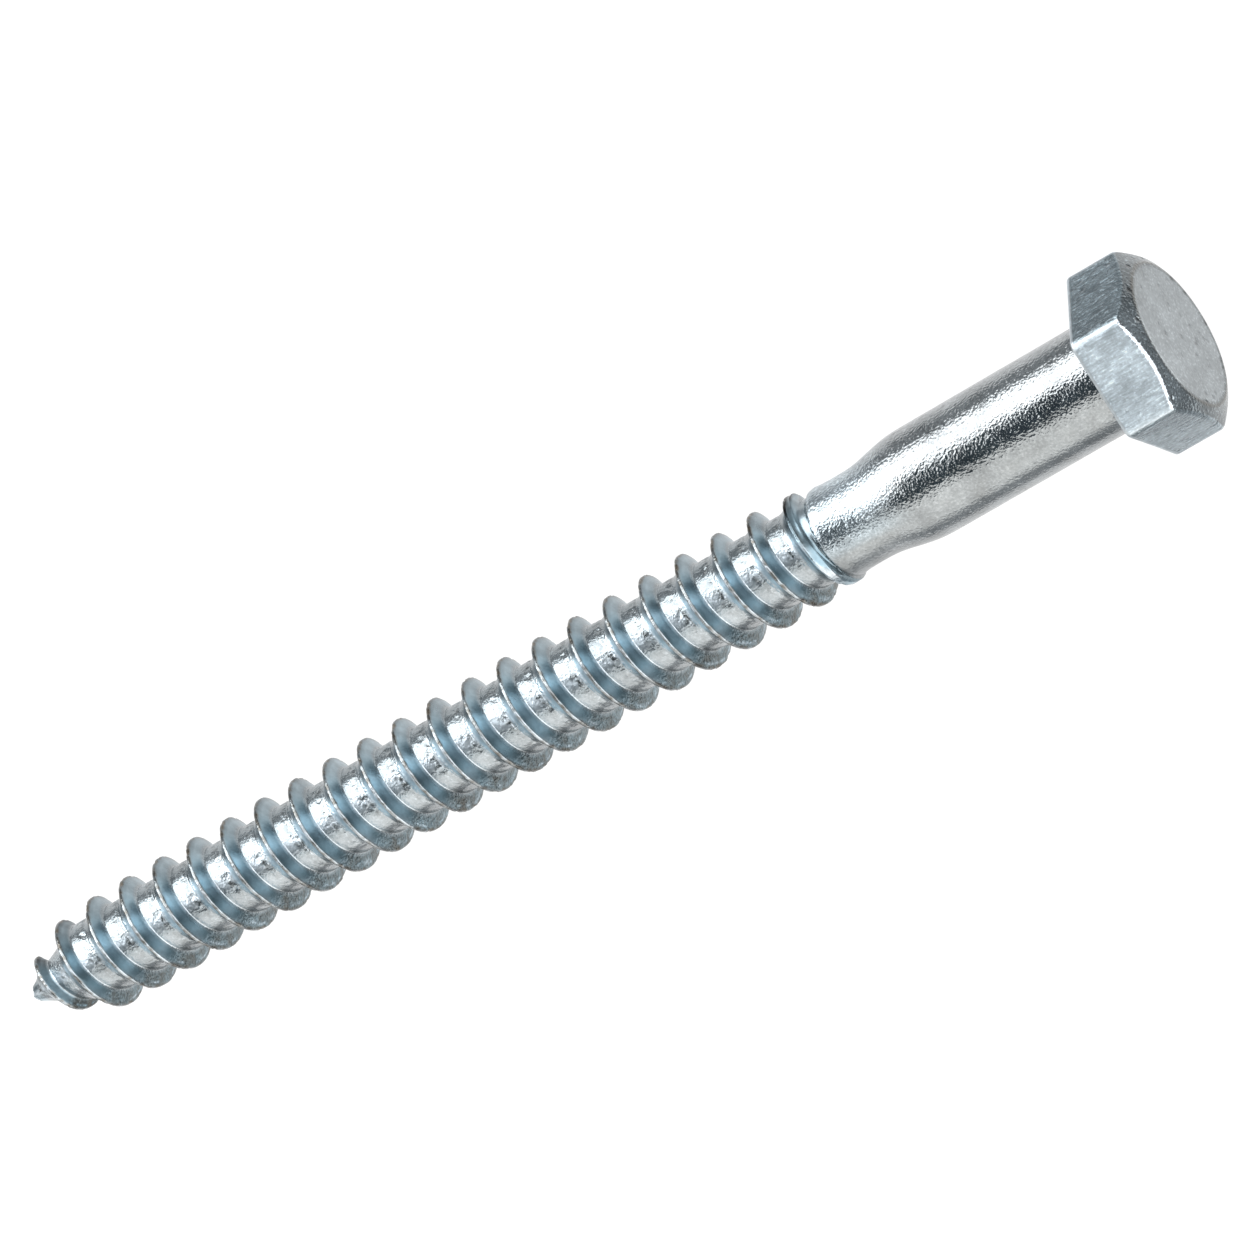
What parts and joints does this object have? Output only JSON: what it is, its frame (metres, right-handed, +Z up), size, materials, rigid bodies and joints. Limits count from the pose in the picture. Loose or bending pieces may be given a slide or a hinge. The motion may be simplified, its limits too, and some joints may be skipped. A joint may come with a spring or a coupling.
{
  "type": "lag screw",
  "caption": "Hex head lag screw with a plain shank, a thinner neck, a coarse single-start wood thread with a thin crest, and a tapered gimlet point. It lies on a flat of its head.",
  "frame": {"origin": "centre of the bounding box at floor level, as the screw lies at rest on a flat of its head and a thread crest near the point", "axes": "+X along the screw towards the head (its axis rises 1.38 degrees towards the head), +Z up, +Y across"},
  "size_m": [0.1194, 0.0166, 0.0147],
  "materials": {
    "zinc_plated_steel": "bright zinc plate with a pale blue cast over forged and rolled steel"
  },
  "bodies": {
    "root": {"lag_screw": "zinc_plated_steel"}
  },
  "joints": []
}
